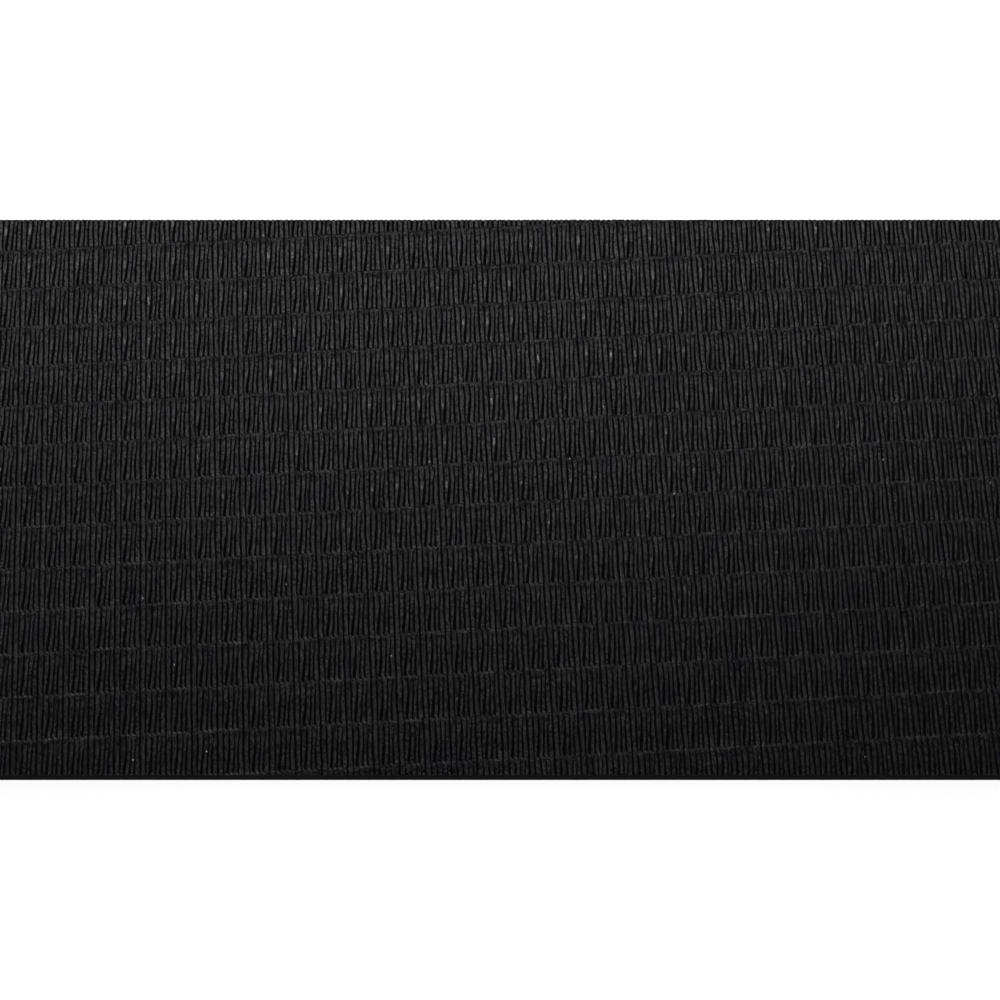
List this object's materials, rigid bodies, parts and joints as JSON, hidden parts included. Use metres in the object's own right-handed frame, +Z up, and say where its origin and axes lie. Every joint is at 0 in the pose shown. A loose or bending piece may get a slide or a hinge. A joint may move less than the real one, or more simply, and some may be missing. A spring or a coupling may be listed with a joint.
{
  "type": "interlocking foam mat",
  "caption": "Flat black foam mat strip with a raised rush-grain top, straight long sides and dovetail jigsaw teeth at both ends that lock into the next mat.",
  "frame": {"origin": "middle of the mat's box, on the surface it lies on", "axes": "+X along the mat's length, from one toothed end to the other, +Y across its width, +Z up out of the ribbed face"},
  "size_m": [0.312, 0.15, 0.01],
  "materials": {
    "foam": "satin embossed closed-cell foam"
  },
  "bodies": {
    "root": {"mat": "foam"}
  },
  "joints": []
}
